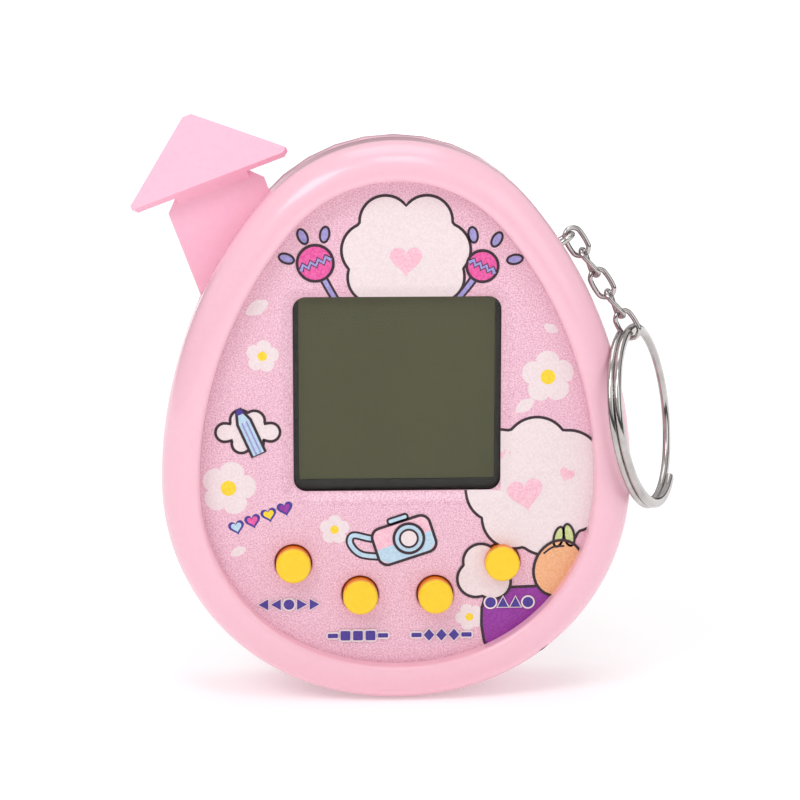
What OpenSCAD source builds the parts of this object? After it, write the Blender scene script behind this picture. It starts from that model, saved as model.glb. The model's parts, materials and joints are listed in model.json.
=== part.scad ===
// Egg-shaped pocket pet toy on a keyring, with every inner piece as its own solid.
//
// The pieces are drawn lying on their back: x runs to the right, y up the egg and z
// from the back face (0) to the rim. upright() then stands them up, so the finished
// part has +Z up the egg and -Y out of the screen, with the origin on the back face.

/* [Body] */
// Width of the egg
body_w = 50; // [49:0.5:51]
// Height of the egg
body_h = 60; // [59:0.5:61]
// Depth from the back face to the crest of the front rim
body_d = 16; // [16:0.1:16.4]
// How far the widest line lies below the middle of the egg
widest_drop = 6.25; // [6:0.05:6.5]
// Radius of the upper side curves
upper_side_r = 46; // [44:0.5:48]
// How much fuller the bottom is than a plain arc
lower_fullness = 0.25; // [0.2:0.05:0.4]
// Side wall thickness of both shells
wall_t = 1.6; // [1.5:0.05:1.7]
// Back wall thickness
back_t = 1.5; // [1.4:0.05:1.55]
// Rounding of the back edge
back_edge_r = 4; // [3.5:0.1:4.2]
// Height of the line where the two shells meet
parting_z = 7.7; // [7.7:0.05:7.8]

/* [Front rim and panel] */
// Rounding of the rim outside its crest
rim_r = 3.6; // [3.4:0.05:3.7]
// Rounding of the rim inside its crest
rim_lip_r = 0.5; // [0.3:0.05:0.6]
// Depth of the printed panel below the crest
panel_drop = 1.9; // [1.8:0.05:2]
// Thickness of the printed film
film_t = 0.2; // [0.15:0.05:0.25]
// Thickness of the front wall under the film
floor_t = 1.4; // [1.4:0.05:1.5]

/* [Screen] */
// Width of the window
window_w = 22; // [21.5:0.1:22.2]
// Height of the window
window_h = 20.8; // [20.4:0.1:21]
// Corner radius of the window
window_r = 1.35; // [1.2:0.05:1.6]
// Height of the window's middle above the middle of the egg
window_y = 3.2; // [3:0.1:3.4]
// Width of the slope around the window
window_slope_w = 1.4; // [1.2:0.1:1.5]
// Depth of the slope around the window
window_slope_d = 0.9; // [0.7:0.1:0.9]

/* [Buttons] */
// Distance of the outer buttons from the middle
outer_button_x = 11.1; // [11:0.1:11.2]
// Height of the outer buttons
outer_button_y = -14.8; // [-15:0.1:-14.6]
// Distance of the inner buttons from the middle
inner_button_x = 4; // [3.9:0.05:4.1]
// Height of the inner buttons
inner_button_y = -18.3; // [-18.4:0.1:-18.2]
// Radius of a button cap
cap_r = 1.85; // [1.8:0.05:1.85]
// How far a cap stands out of the panel
cap_rise = 1.8; // [1.6:0.1:1.8]

/* [Batteries] */
// Radius of a button cell
cell_r = 5.8; // [5.7:0.05:5.8]
// Thickness of a button cell
cell_t = 5.4; // [5.3:0.05:5.4]
// Distance of each cell from the middle
cell_x = 6.4; // [6.4:0.05:6.5]
// Height of the cells
cell_y = -9.5; // [-9.6:0.05:-9.4]
// Radius of the case and cover screws' shanks
screw_r = 0.95; // [0.85:0.05:0.95]

/* [Pull tab] */
// Width of the insulating strip
strip_w = 10.9; // [10.5:0.1:10.9]
// Thickness of the insulating strip
strip_t = 0.45; // [0.4:0.05:0.45]
// Angle of the strip from upright
strip_angle = 20.7; // [20:0.1:21]
// Length of the strip above the cell's middle
strip_len = 36.8; // [36:0.1:37]
// Width of the arrow head
head_w = 17.6; // [17:0.1:18.5]
// Length of the arrow head
head_len = 8.5; // [8:0.1:9]
// How far the arrow head leans back
head_lean = 35; // [30:1:38]

/* [Chain and ring] */
// Radius of the chain wire
chain_wire_r = 0.3; // [0.28:0.01:0.3]
// Outer length of a chain link
link_len = 3.84; // [3.8:0.02:3.9]
// Outer width of a chain link
link_w = 2.6; // [2.6:0.02:2.64]
// Number of chain links
link_count = 5;
// Outer diameter of the split ring
ring_od = 20; // [19.8:0.1:20]
// Radial width of the ring wire
ring_wire_w = 1.14; // [1.1:0.02:1.14]
// Thickness of one turn of the ring wire
ring_wire_t = 0.74; // [0.7:0.02:0.74]

/* [Hidden] */
$fn = 64;

SHELL_PINK = [0.97, 0.73, 0.82];
TAB_PINK = [0.98, 0.70, 0.80];
PANEL_PINK = [0.93, 0.74, 0.81];
CAP_YELLOW = [1, 0.84, 0.1];
BOARD_GREEN = [0.1, 0.38, 0.2];
CHROME = [0.75, 0.75, 0.77];

// Small gaps: between pieces that rest on each other, and around pieces that slide.
rest_gap = 0.05;
slide_gap = 0.15;
// Extra length of a cutting tool past the face it cuts.
past = 1;

// Heights above the back face.
panel_z = body_d - panel_drop;
floor_top_z = panel_z - film_t;
floor_z = floor_top_z - floor_t;
board_t = 0.8;
board_z = 9.6;
board_top_z = board_z + board_t;

// The egg's outline is six tangent arcs: top, bottom and two on each side.
lower_reach = body_h / 2 - widest_drop;
upper_reach = body_h / 2 + widest_drop;
lower_side_r = lower_reach - lower_fullness;
bottom_r = end_radius(lower_side_r, lower_reach);
top_r = end_radius(upper_side_r, upper_reach);
bottom_y = bottom_r - body_h / 2;
top_y = body_h / 2 - top_r;
lower_side_x = body_w / 2 - lower_side_r;
upper_side_x = body_w / 2 - upper_side_r;
lower_angle = atan2(bottom_y + widest_drop, lower_side_x);
upper_angle = atan2(top_y + widest_drop, -upper_side_x);

// One row for each arc: centre x, centre y, radius, first angle, last angle.
EGG_ARCS = [
    [upper_side_x, -widest_drop, upper_side_r, 0, upper_angle],
    [0, top_y, top_r, upper_angle, 180 - upper_angle],
    [-upper_side_x, -widest_drop, upper_side_r, 180 - upper_angle, 180],
    [-lower_side_x, -widest_drop, lower_side_r, 180, 180 + lower_angle],
    [0, bottom_y, bottom_r, 180 + lower_angle, 360 - lower_angle],
    [lower_side_x, -widest_drop, lower_side_r, 360 - lower_angle, 360]
];

// Straight steps along each arc of the outline, and round each rounded edge.
arc_steps = 10;
edge_steps = 5;

// Buttons, from left to right: select, decide, cancel, reset.
BUTTONS = [
    [-outer_button_x, outer_button_y],
    [-inner_button_x, inner_button_y],
    [inner_button_x, inner_button_y],
    [outer_button_x, outer_button_y]
];
hole_r = cap_r + slide_gap;
flange_r = 2.6;
flange_t = 0.6;
flange_z = floor_z - rest_gap - flange_t;
cap_edge_r = 0.25;
dome_top_z = flange_z - rest_gap;
pill_r = 1.2;
pill_t = 0.18;
pill_z = dome_top_z - 0.58 - pill_t;
sheet_t = 0.5;

// Screen stack, from the window down to the board.
lens_t = 0.6;
lens_pocket_d = 0.25;
lens_z = floor_z + lens_pocket_d - lens_t;
lens_w = window_w + 1.8;
lens_h = window_h + 1.8;
view_w = 20.9;
view_h = 19.7;
view_y = window_y + 0.5;
frame_top_z = lens_z - rest_gap;
bezel_t = 0.25;
glass_t = 0.5;
foil_t = 0.15;
glass_w = 23.4;
glass_top_y = view_y + view_h / 2 + 1.1;
front_glass_h = 23.8;
rear_glass_h = 21.6;
frame_wall = 0.95;
front_glass_z = frame_top_z - bezel_t - glass_t;
rear_glass_z = front_glass_z - glass_t;
reflector_z = rear_glass_z - foil_t;

// Board outline, and its four screws to posts on the front wall.
board_upper_w = 33;
board_lower_w = 29.6;
board_top_y = 16.4;
board_waist_y = -9.5;
board_bottom_y = -22;
board_corner_r = 3;
BOARD_SCREWS = [[14.7, 10], [-14.7, 10], [12.6, -20.2], [-12.6, -20.2]];
post_r = 1.7;
board_screw_r = 0.7;
board_screw_head_r = 1.4;
board_screw_head_t = 0.8;
board_screw_end_z = floor_z - 0.5;

// Case screws: three, from the back through the rear shell into front bosses.
CASE_SCREWS = [[0, 23.6], [18.3, -13], [-18.3, -13]];
column_r = 2.6;
head_r = 1.8;
head_t = 1.4;
head_bore_r = 2.1;
head_seat_z = 3;
case_screw_end_z = 11.2;

// Battery box, cover and the cover's screw.
cell_z = 1.7;
pocket_r = cell_r + 0.25;
box_w = 27.8;
box_h = 14.6;
pocket_floor_z = 8.3;
box_floor_z = 9.1;
cover_w = 29.2;
cover_top_y = -1;
cover_bottom_y = -22.2;
cover_h = cover_top_y - cover_bottom_y;
cover_y = (cover_top_y + cover_bottom_y) / 2;
cover_t = 1.4;
cover_r = 2.5;
seat_margin = 1.4;
seat_z = 2.7;
cover_screw_y = -18.9;
cover_boss_r = 2.5;
cover_boss_z = 3.2;
cover_head_seat_z = 1.5;
cover_screw_end_z = 7.8;

// Battery contacts.
contact_t = 0.25;
contact_r = 5;
contact_tail_w = 1.8;
contact_tail_y = -1.2;
contact_z = pocket_floor_z - contact_t;

// Pull tab: the strip lies on the left cell's inner face.
strip_z = cell_z + cell_t + rest_gap;
strip_end_r = strip_w / 2;
strip_chamfer = 1.2;
neck_w = 8;
neck_t = 0.7;
neck_forward = 1.5;
neck_up = 0.7;
head_t_mm = 1;
head_blunt = 0.5;

// Buzzer, glued in a ring on the back wall.
buzzer_x = 7.5;
buzzer_y = 13;
buzzer_r = 6;
buzzer_z = 1.9;
buzzer_plate_t = 0.2;
ceramic_r = 4.3;

// Eyelet in the upper right side, where the chain starts, and the chain's line.
eyelet_angle = 33.2;
eyelet_wire_r = 0.35;
eyelet_bend_r = 1.1;
eyelet_leg = 0.35;
eyelet_inside = 4;
chain_z = 10;
chain_angle = -58.2;
link_gap = 0.02;
wrap = 2 * chain_wire_r + link_gap;
link_mid = link_len - 2 * chain_wire_r;
first_wrap = chain_wire_r + eyelet_wire_r + link_gap;
last_wrap = chain_wire_r + ring_wire_w / 2 + link_gap;
eyelet_out = eyelet_leg + eyelet_bend_r;
chain_start = [
    upper_side_x + (upper_side_r + eyelet_out) * cos(eyelet_angle),
    (upper_side_r + eyelet_out) * sin(eyelet_angle) - widest_drop
];
chain_dir = [cos(chain_angle), sin(chain_angle)];

// Split ring: it hangs nearly edge-on, its top inside the last link.
ring_r = (ring_od - ring_wire_w) / 2;
ring_hang = 11;
ring_turn = 23;
ring_half_start = 100;
ring_half_angle = 200;
ring_top = chain_start + chain_dir * (link_near(link_count + 1) + wrap - last_wrap);
ring_centre = ring_top + ring_r * [sin(ring_hang), -cos(ring_hang)];

// Radius of the end arc that is tangent to two side arcs and reaches the given height.
function end_radius(side_r, reach) =
    (pow(side_r, 2) - pow(side_r - body_w / 2, 2) - pow(reach, 2)) / (2 * (side_r - reach));

// The egg's outline, inset, as points along its six arcs.
function egg_points(inset) = [
    for (a = EGG_ARCS, i = [0:arc_steps - 1])
        let (t = a[3] + (a[4] - a[3]) * i / arc_steps)
            [a[0], a[1]] + (a[2] - inset) * [cos(t), sin(t)]
];

// How far along the chain the near bend of link number i lies.
function link_near(i) = (i - 1) * (link_mid - wrap) - first_wrap;

// Stands the lying pieces upright.
module upright() {
    rotate([90, 0, 0]) children();
}

// A flat egg-shaped plate, inset from the outline.
module egg_plate(inset, from_z, to_z) {
    translate([0, 0, from_z])
        linear_extrude(to_z - from_z)
            polygon(egg_points(inset));
}

// An egg-shaped block between two heights, its far edge rounded with radius r.
module egg_block(from_z, to_z, r) {
    away = to_z > from_z ? 1 : -1;
    skin = 0.02;
    hull() {
        egg_plate(0, min(from_z, from_z + away * skin), max(from_z, from_z + away * skin));
        for (i = [0:edge_steps]) {
            a = 90 * i / edge_steps;
            z = to_z - away * r * (1 - sin(a));
            egg_plate(r * (1 - cos(a)), min(z, z - away * skin), max(z, z - away * skin));
        }
    }
}

// Sweeps a profile round a rounded rectangle: x = 0 on the outline, outside positive.
module rect_ring(w, h, r) {
    for (i = [0:3])
        rotate(90 * i) {
            span = i % 2 == 0 ? [w, h] : [h, w];
            translate([span[0] / 2 - r, span[1] / 2 - r, 0])
                rotate_extrude(angle = 90)
                    translate([r, 0]) children();
            translate([span[0] / 2, span[1] / 2 - r, 0])
                rotate([90, 0, 0])
                    linear_extrude(span[1] - 2 * r) children();
        }
}

// A rounded rectangle's plate, centred in x and y.
module rect_plate(w, h, r, from_z, to_z) {
    translate([0, 0, from_z])
        linear_extrude(to_z - from_z)
            rounded_rect(w, h, r);
}

module rounded_rect(w, h, r) {
    square([w - 2 * r, h], center = true);
    square([w, h - 2 * r], center = true);
    for (sx = [-1, 1], sy = [-1, 1])
        translate([sx * (w / 2 - r), sy * (h / 2 - r)]) circle(r);
}

// A straight round piece from one height to another.
module rod(x, y, r, from_z, to_z) {
    translate([x, y, from_z]) cylinder(r = r, h = to_z - from_z);
}

// A low spherical cap standing on z = 0.
module round_cap(r, h) {
    sphere_r = (r * r + h * h) / (2 * h);
    rotate_extrude()
        intersection() {
            translate([0, h - sphere_r]) circle(sphere_r);
            square([r, h]);
        }
}

// A screw with its head's underside at z = 0, its shank up +z and a cross recess.
module screw(shank_r, length, cap_radius, cap_t) {
    recess_w = cap_radius * 0.3;
    difference() {
        union() {
            rod(0, 0, cap_radius, -cap_t, 0);
            rod(0, 0, shank_r, -cap_t / 2, length);
        }
        for (a = [0, 90])
            rotate(a)
                translate([-cap_radius * 0.6, -recess_w / 2, -cap_t - past])
                    cube([cap_radius * 1.2, recess_w, cap_t / 2 + past]);
    }
}

// A round wire through the given points.
module wire(points, r) {
    for (i = [0:len(points) - 2]) {
        step = points[i + 1] - points[i];
        translate(points[i])
            rotate([0, atan2(norm([step[0], step[1]]), step[2]), atan2(step[1], step[0])])
                cylinder(r = r, h = norm(step));
    }
    for (i = [1:len(points) - 2])
        translate(points[i]) sphere(r);
}

// The strip's outline along its own length: y = 0 at the left cell's middle.
module strip_outline(extra) {
    w = strip_w / 2 + extra;
    circle(w);
    polygon([
        [-w, 0], [w, 0], [w, strip_len - strip_chamfer],
        [w - strip_chamfer, strip_len], [strip_chamfer - w, strip_len],
        [-w, strip_len - strip_chamfer]
    ]);
}

// Places a piece on the strip's line.
module on_strip() {
    translate([-cell_x, cell_y, 0])
        rotate(strip_angle) children();
}

// Places a piece on the eyelet's line: x points out of the shell.
module on_eyelet() {
    translate([upper_side_x, -widest_drop, chain_z])
        rotate(eyelet_angle)
            translate([upper_side_r, 0, 0]) children();
}

module front_shell() {
    step_w = window_w + 2 * window_slope_w + 0.2;
    step_h = window_h + 2 * window_slope_w + 0.2;
    color(SHELL_PINK) upright() difference() {
        union() {
            difference() {
                egg_block(parting_z, body_d, rim_r);
                egg_plate(rim_r + rim_lip_r, floor_top_z, body_d + past);
                egg_plate(wall_t, parting_z - past, floor_z - 1);
                egg_plate(wall_t + 0.8, parting_z, floor_z);
            }
            for (p = CASE_SCREWS) rod(p[0], p[1], column_r, parting_z, floor_z + 0.1);
            for (p = BOARD_SCREWS) rod(p[0], p[1], post_r, board_top_z, floor_z + 0.1);
        }
        translate([0, window_y, 0]) {
            rect_plate(window_w, window_h, window_r, floor_z - past, panel_z + past);
            rect_plate(lens_w + 0.2, lens_h + 0.2, 1, floor_z - past, floor_z + lens_pocket_d);
            rect_plate(
                step_w, step_h, window_r + window_slope_w + 0.1,
                floor_top_z - window_slope_d, panel_z + past);
        }
        for (p = BUTTONS) rod(p[0], p[1], hole_r, floor_z - past, panel_z + past);
        for (p = CASE_SCREWS)
            rod(p[0], p[1], screw_r + rest_gap, parting_z - past, case_screw_end_z + 0.4);
        for (p = BOARD_SCREWS)
            rod(p[0], p[1], board_screw_r + rest_gap, board_z, board_screw_end_z + 0.2);
        // Groove for the rear shell's tongue.
        difference() {
            egg_plate(wall_t / 2 - rest_gap, parting_z - past, parting_z + 0.9);
            egg_plate(wall_t + 0.1, parting_z - 2 * past, parting_z + past);
        }
        // Holes for the eyelet's legs.
        on_eyelet()
            for (s = [-1, 1])
                translate([-eyelet_inside, 0, s * eyelet_bend_r])
                    rotate([0, 90, 0])
                        cylinder(r = eyelet_wire_r + 0.03, h = eyelet_inside + past);
    }
}

// The printed film: it fills the recess and rolls down the slope to the window.
module face_panel() {
    color(PANEL_PINK) upright() difference() {
        union() {
            difference() {
                egg_plate(rim_r + rim_lip_r + 0.08, floor_top_z, panel_z);
                translate([0, window_y, 0])
                    rect_plate(
                        window_w + window_slope_w, window_h + window_slope_w,
                        window_r + window_slope_w / 2, floor_top_z - past, panel_z + past);
            }
            translate([0, window_y, 0])
                rect_ring(window_w, window_h, window_r)
                    polygon([
                        [0, floor_top_z - window_slope_d],
                        [window_slope_w, floor_top_z - window_slope_d],
                        [window_slope_w, panel_z],
                        [0, panel_z - window_slope_d]
                    ]);
        }
        for (p = BUTTONS) rod(p[0], p[1], hole_r + 0.1, floor_z, panel_z + past);
    }
}

module screen_window() {
    color([0.8, 0.85, 0.85, 0.5]) upright()
        translate([0, window_y, 0])
            rect_plate(lens_w, lens_h, 0.9, lens_z, lens_z + lens_t);
}

// Black frame on the board: bezel in front of the glass, ledge behind it.
module lcd_frame() {
    cavity_w = glass_w + 0.1;
    cavity_h = front_glass_h + 0.1;
    cavity_y = glass_top_y - front_glass_h / 2;
    color([0.12, 0.1, 0.1]) upright() difference() {
        translate([0, cavity_y, 0])
            rect_plate(
                cavity_w + 2 * frame_wall, cavity_h + 2 * frame_wall, 0.5,
                board_top_z, frame_top_z);
        translate([-cavity_w / 2, cavity_y - cavity_h / 2, reflector_z])
            cube([cavity_w, cavity_h, frame_top_z - bezel_t - reflector_z]);
        translate([-view_w / 2, view_y - view_h / 2, reflector_z])
            cube([view_w, view_h, frame_top_z]);
        translate([-cavity_w / 2 + 1, cavity_y - cavity_h / 2, board_z])
            cube([cavity_w - 2, cavity_h - 1, frame_top_z - bezel_t - board_z]);
    }
}

// A flat sheet of the screen stack, hung from the top edge of the glass.
module screen_sheet(w, top_y, h, from_z, thickness) {
    upright()
        translate([-w / 2, top_y - h, from_z])
            cube([w, h, thickness]);
}

module lcd_polarizer() {
    color([0.4, 0.4, 0.3])
        screen_sheet(
            view_w - 0.1, view_y + view_h / 2 - 0.05, view_h - 0.1,
            front_glass_z + glass_t, foil_t);
}

module lcd_front_glass() {
    color([0.6, 0.65, 0.55])
        screen_sheet(glass_w, glass_top_y, front_glass_h, front_glass_z, glass_t);
}

module lcd_rear_glass() {
    color([0.55, 0.6, 0.5])
        screen_sheet(glass_w, glass_top_y, rear_glass_h, rear_glass_z, glass_t);
}

module lcd_reflector() {
    color([0.7, 0.7, 0.68])
        screen_sheet(glass_w - 2.4, glass_top_y - 1.2, rear_glass_h - 2.4, reflector_z, foil_t);
}

// Rubber connector between the glass's contact ledge and the board.
module zebra_strip() {
    color([0.25, 0.25, 0.3])
        screen_sheet(
            20, glass_top_y - rear_glass_h - 0.4, 1.4,
            board_top_z, front_glass_z - board_top_z);
}

module button_cap(i) {
    top_z = panel_z + cap_rise;
    color(CAP_YELLOW) upright()
        translate([BUTTONS[i][0], BUTTONS[i][1], 0])
            rotate_extrude() {
                translate([0, flange_z]) square([flange_r, flange_t]);
                translate([0, flange_z]) square([cap_r, top_z - cap_edge_r - flange_z]);
                translate([0, flange_z]) square([cap_r - cap_edge_r, top_z - flange_z]);
                translate([cap_r - cap_edge_r, top_z - cap_edge_r]) circle(cap_edge_r);
            }
}

module contact_pill(i) {
    color([0.1, 0.1, 0.1]) upright()
        rod(BUTTONS[i][0], BUTTONS[i][1], pill_r, pill_z, pill_z + pill_t);
}

module select_button() { button_cap(0); }
module decide_button() { button_cap(1); }
module cancel_button() { button_cap(2); }
module reset_button() { button_cap(3); }
module select_pill() { contact_pill(0); }
module decide_pill() { contact_pill(1); }
module cancel_pill() { contact_pill(2); }
module reset_pill() { contact_pill(3); }

// Rubber sheet with a dome under each button.
module keypad() {
    pad_r = 3.2;
    dome_hole_r = 2.3;
    sheet_top_z = board_top_z + sheet_t;
    plunger_z = pill_z + pill_t;
    color([0.85, 0.85, 0.8]) upright() {
        difference() {
            union() {
                for (p = BUTTONS) rod(p[0], p[1], pad_r, board_top_z, sheet_top_z);
                for (i = [0:2]) {
                    step = BUTTONS[i + 1] - BUTTONS[i];
                    translate([BUTTONS[i][0], BUTTONS[i][1], board_top_z])
                        rotate(atan2(step[1], step[0]))
                            translate([0, -2, 0])
                                cube([norm(step), 4, sheet_t]);
                }
            }
            for (p = BUTTONS) rod(p[0], p[1], dome_hole_r, board_z, panel_z);
        }
        for (p = BUTTONS)
            translate([p[0], p[1], 0])
                rotate_extrude()
                    polygon([
                        [0, plunger_z], [1.3, plunger_z], [1.3, plunger_z + 0.15],
                        [dome_hole_r - 0.1, sheet_top_z - 0.1],
                        [dome_hole_r - 0.1, sheet_top_z - 0.3],
                        [dome_hole_r + 0.1, sheet_top_z - 0.3],
                        [dome_hole_r + 0.4, sheet_top_z],
                        [1.6, plunger_z + 0.35], [1.6, dome_top_z], [0, dome_top_z]
                    ]);
    }
}

module circuit_board() {
    upper_h = board_top_y - board_waist_y;
    lower_h = board_waist_y - board_bottom_y + board_corner_r;
    color(BOARD_GREEN) upright() difference() {
        union() {
            translate([0, board_waist_y + upper_h / 2, 0])
                rect_plate(board_upper_w, upper_h, board_corner_r, board_z, board_top_z);
            translate([0, board_bottom_y + lower_h / 2, 0])
                rect_plate(board_lower_w, lower_h, board_corner_r, board_z, board_top_z);
        }
        for (p = BOARD_SCREWS)
            rod(p[0], p[1], board_screw_r + slide_gap, board_z - past, board_top_z + past);
    }
}

// Black resin over the bare chip, on the back of the board.
module chip_blob() {
    color([0.08, 0.08, 0.08]) upright()
        translate([1, 6, board_z])
            mirror([0, 0, 1]) round_cap(4.5, 1.3);
}

// Clock crystal, lying on the back of the board with its two leads.
module crystal() {
    can_r = 1;
    can_z = board_z - can_r;
    color(CHROME) upright() {
        translate([10.5, 4, can_z])
            rotate([-90, 0, 0]) cylinder(r = can_r, h = 6);
        for (s = [-1, 1])
            wire([
                [10.5 + s * 0.4, 4.2, can_z],
                [10.5 + s * 0.4, 2.6, can_z],
                [10.5 + s * 0.4, 2.6, board_z]
            ], 0.15);
    }
}

// Surface-mounted chips in a row on the back of the board.
module chip_row(count, x, y, step, size) {
    for (i = [0:count - 1])
        translate([x, y - i * step, board_z - size[2]])
            cube(size);
}

module resistors() {
    color([0.15, 0.15, 0.18]) upright() chip_row(3, 7.2, 4, 2.2, [2, 1.25, 0.5]);
}

module capacitors() {
    color([0.7, 0.55, 0.4]) upright() chip_row(2, 13, 4, 2.6, [1.25, 2, 0.9]);
}

module board_screws() {
    color(CHROME) upright()
        for (p = BOARD_SCREWS)
            translate([p[0], p[1], board_z])
                screw(
                    board_screw_r, board_screw_end_z - board_z,
                    board_screw_head_r, board_screw_head_t);
}

module buzzer_plate() {
    color([0.8, 0.65, 0.3]) upright()
        rod(buzzer_x, buzzer_y, buzzer_r, buzzer_z, buzzer_z + buzzer_plate_t);
}

module buzzer_ceramic() {
    from_z = buzzer_z + buzzer_plate_t;
    color([0.92, 0.92, 0.88]) upright()
        rod(buzzer_x, buzzer_y, ceramic_r, from_z, from_z + 0.2);
}

// Two leads from the buzzer to the back of the board.
module buzzer_wires() {
    plate_z = buzzer_z + buzzer_plate_t;
    color([0.8, 0.1, 0.1]) upright() {
        wire([[7.5, 13, plate_z + 0.2], [7.5, 13, 5], [9, 13, 5], [9, 13, board_z]], 0.35);
        wire([[2.6, 12, plate_z], [2.6, 12, 6.5], [4.5, 12, 6.5], [4.5, 12, board_z]], 0.35);
    }
}

// Two leads from the battery contacts' tails to the back of the board.
module battery_wires() {
    lead_r = 0.35;
    lead_z = pocket_floor_z + lead_r;
    color([0.15, 0.15, 0.15]) upright()
        for (s = [-1, 1])
            wire([
                [s * cell_x, contact_tail_y - 0.7, lead_z],
                [s * cell_x, 0.4, lead_z],
                [s * cell_x, 0.4, board_z]
            ], lead_r);
}

module rear_shell() {
    color(SHELL_PINK) upright() difference() {
        union() {
            difference() {
                union() {
                    egg_block(parting_z, 0, back_edge_r);
                    // Tongue that locates the front shell.
                    egg_plate(wall_t / 2, back_edge_r, parting_z + 0.8);
                }
                egg_plate(back_edge_r - 0.4, back_t, parting_z);
                egg_plate(back_edge_r - 1.4, 2.4, parting_z);
                egg_plate(wall_t, 3.6, parting_z + past);
            }
            // Seat under the cover, and the box round the cells.
            translate([0, cover_y, 0])
                rect_plate(
                    cover_w + 2 * seat_margin, cover_h + 2 * seat_margin,
                    cover_r + seat_margin, back_t - 0.1, seat_z);
            translate([0, cell_y, 0])
                rect_plate(box_w, box_h, 1, back_t - 0.1, box_floor_z);
            rod(0, cover_screw_y, cover_boss_r + 1.1, back_t, cover_boss_z + 1.4);
            rod(0, cover_screw_y, 2.4, back_t, 8.8);
            for (p = CASE_SCREWS) rod(p[0], p[1], column_r, back_t - 0.1, parting_z);
            rod(buzzer_x, buzzer_y, buzzer_r + 0.9, back_t - 0.1, buzzer_z + 0.6);
        }
        // Recess and opening for the battery cover.
        translate([0, cover_y, 0])
            rect_plate(
                cover_w + 2 * slide_gap, cover_h + 2 * slide_gap,
                cover_r + slide_gap, -past, cover_t + rest_gap);
        translate([0, cell_y, 0])
            rect_plate(box_w - 1, box_h - 1.8, 1, -past, seat_z);
        for (s = [-1, 1]) rod(s * cell_x, cell_y, pocket_r, -past, pocket_floor_z);
        // Hole and pilot for the cover's screw.
        rod(0, cover_screw_y, cover_boss_r + slide_gap, -past, cover_boss_z + 0.1);
        rod(0, cover_screw_y, screw_r, 0, 8.9);
        for (p = CASE_SCREWS) {
            rod(p[0], p[1], head_bore_r, -past, head_seat_z);
            rod(p[0], p[1], screw_r + 0.2, 0, parting_z + past);
        }
        // Buzzer seat and its sound holes.
        rod(buzzer_x, buzzer_y, buzzer_r + 0.1, buzzer_z, parting_z);
        rod(buzzer_x, buzzer_y, buzzer_r - 0.6, back_t, parting_z);
        for (p = [[0, 0], [2, 0], [-2, 0], [0, 2], [0, -2]])
            rod(buzzer_x + p[0], buzzer_y + p[1], 0.5, -past, back_t + past);
        // Slit for the pull tab: through the box's wall and out of the shoulder.
        on_strip()
            translate([0, 0, strip_z - rest_gap])
                linear_extrude(strip_t + 2 * rest_gap)
                    strip_outline(0.15);
        on_strip()
            translate([-strip_w / 2 - 0.15, 20, strip_z - rest_gap])
                cube([strip_w + 0.3, 20, 2]);
        // Slots for the contacts' tails.
        for (s = [-1, 1])
            translate([s * cell_x - contact_tail_w / 2 - 0.1, cell_y, contact_z - 0.05])
                cube([contact_tail_w + 0.2, box_h, contact_t + 0.05]);
    }
}

// A battery contact: disc, tail through the box's wall, and a spring dome.
module cell_contact(x, dome_r, dome_h) {
    color(CHROME) upright() {
        rod(x, cell_y, contact_r, contact_z, pocket_floor_z);
        translate([x - contact_tail_w / 2, cell_y, contact_z])
            cube([contact_tail_w, contact_tail_y - cell_y, contact_t]);
        translate([x, cell_y, contact_z])
            mirror([0, 0, 1]) round_cap(dome_r, dome_h);
    }
}

module left_contact() {
    cell_contact(-cell_x, 2.5, contact_z - strip_z - strip_t - rest_gap);
}

module right_contact() {
    cell_contact(cell_x, 3, contact_z - cell_z - cell_t - rest_gap);
}

// Plate on the cover's inside that joins the two cells.
module bridge_contact() {
    color(CHROME) upright()
        translate([0, cell_y, 0])
            rect_plate(21, 5, 1, cover_t, cell_z - rest_gap);
}

// A button cell, with its smaller cap up or down.
module button_cell(x, cap_up) {
    cap_z = 0.5;
    color([0.78, 0.78, 0.8]) upright()
        translate([x, cell_y, cap_up ? cell_z : cell_z + cell_t])
            mirror([0, 0, cap_up ? 0 : 1]) {
                cylinder(r = cell_r, h = cell_t - cap_z);
                cylinder(r = cell_r - 1.1, h = cell_t);
            }
}

module left_cell() { button_cell(-cell_x, true); }
module right_cell() { button_cell(cell_x, false); }

module battery_cover() {
    rib_x = box_w / 2 - 1.15;
    color(SHELL_PINK) upright() difference() {
        union() {
            translate([0, cover_y, 0])
                rect_plate(cover_w, cover_h, cover_r, 0, cover_t);
            rod(0, cover_screw_y, cover_boss_r, cover_t / 2, cover_boss_z);
            for (s = [-1, 1])
                translate([s * rib_x - 0.35, cell_y - 3, cover_t - 0.1])
                    cube([0.7, 6, 1.1]);
        }
        rod(0, cover_screw_y, head_bore_r, -past, cover_head_seat_z);
        rod(0, cover_screw_y, screw_r + 0.2, 0, cover_boss_z + past);
        // Grip grooves near the top edge.
        for (i = [0:2])
            translate([-4, cover_top_y - 3 - 1.2 * i, -past])
                cube([8, 0.5, past + 0.3]);
    }
}

module cover_screw() {
    color(CHROME) upright()
        translate([0, cover_screw_y, cover_head_seat_z])
            screw(screw_r - rest_gap, cover_screw_end_z - cover_head_seat_z, head_r, 1.05);
}

module case_screws() {
    color(CHROME) upright()
        for (p = CASE_SCREWS)
            translate([p[0], p[1], head_seat_z])
                screw(screw_r, case_screw_end_z - head_seat_z, head_r, head_t);
}

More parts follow.
